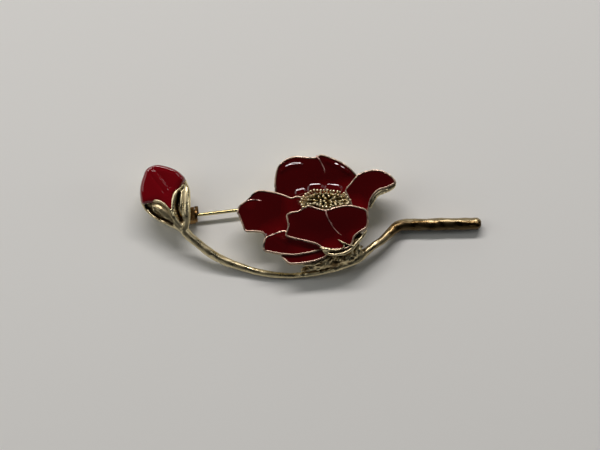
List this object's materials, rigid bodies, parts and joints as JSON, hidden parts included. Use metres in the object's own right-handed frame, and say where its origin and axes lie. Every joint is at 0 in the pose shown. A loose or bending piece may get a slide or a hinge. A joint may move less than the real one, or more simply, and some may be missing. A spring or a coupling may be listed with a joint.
{
  "type": "flower brooch",
  "caption": "Cast gold-tone branch brooch with a red enamelled flower and bud, hinged pin and turning safety catch on the back.",
  "frame": {"origin": "bottom centre of the bounding box, on the surface that the brooch lies on face up", "axes": "+X along the branch from the bud to the cut twig, +Y across the brooch towards the top petal, +Z out of the decorated face"},
  "size_m": [0.07, 0.0246, 0.0089],
  "materials": {
    "casting": "bright gold-tone plating",
    "enamel_top": "glossy deep red enamel",
    "enamel_left": "glossy deep red enamel",
    "enamel_right": "glossy deep red enamel",
    "enamel_front": "glossy deep red enamel",
    "enamel_lower": "glossy deep red enamel",
    "enamel_bottom": "glossy deep red enamel",
    "enamel_bud": "glossy red enamel",
    "hinge_bracket": "bright gold-tone plating",
    "hinge_rivet": "bright gold-tone plating",
    "pin_needle": "bright gold-tone plating",
    "catch_housing": "bright gold-tone plating",
    "catch_roller": "bright gold-tone plating"
  },
  "bodies": {
    "brooch": {"casting": "casting", "enamel_top": "enamel_top", "enamel_left": "enamel_left", "enamel_right": "enamel_right", "enamel_front": "enamel_front", "enamel_lower": "enamel_lower", "enamel_bottom": "enamel_bottom", "enamel_bud": "enamel_bud", "hinge_bracket": "hinge_bracket", "hinge_rivet": "hinge_rivet", "catch_housing": "catch_housing"},
    "pin": {"pin_needle": "pin_needle"},
    "roller": {"catch_roller": "catch_roller"}
  },
  "joints": [
    {"name": "pin_hinge", "type": "hinge", "parent": "brooch", "child": "pin", "pos_m": [0.00948, 0.00482, 0.00175], "axis": [0.1219, -0.9925, 0], "range_deg": [0, 75]},
    {"name": "catch_turn", "type": "hinge", "parent": "brooch", "child": "roller", "pos_m": [-0.02446, 0.00065, 0.00175], "axis": [-0.9925, -0.1219, 0], "range_deg": [0, 90]}
  ]
}
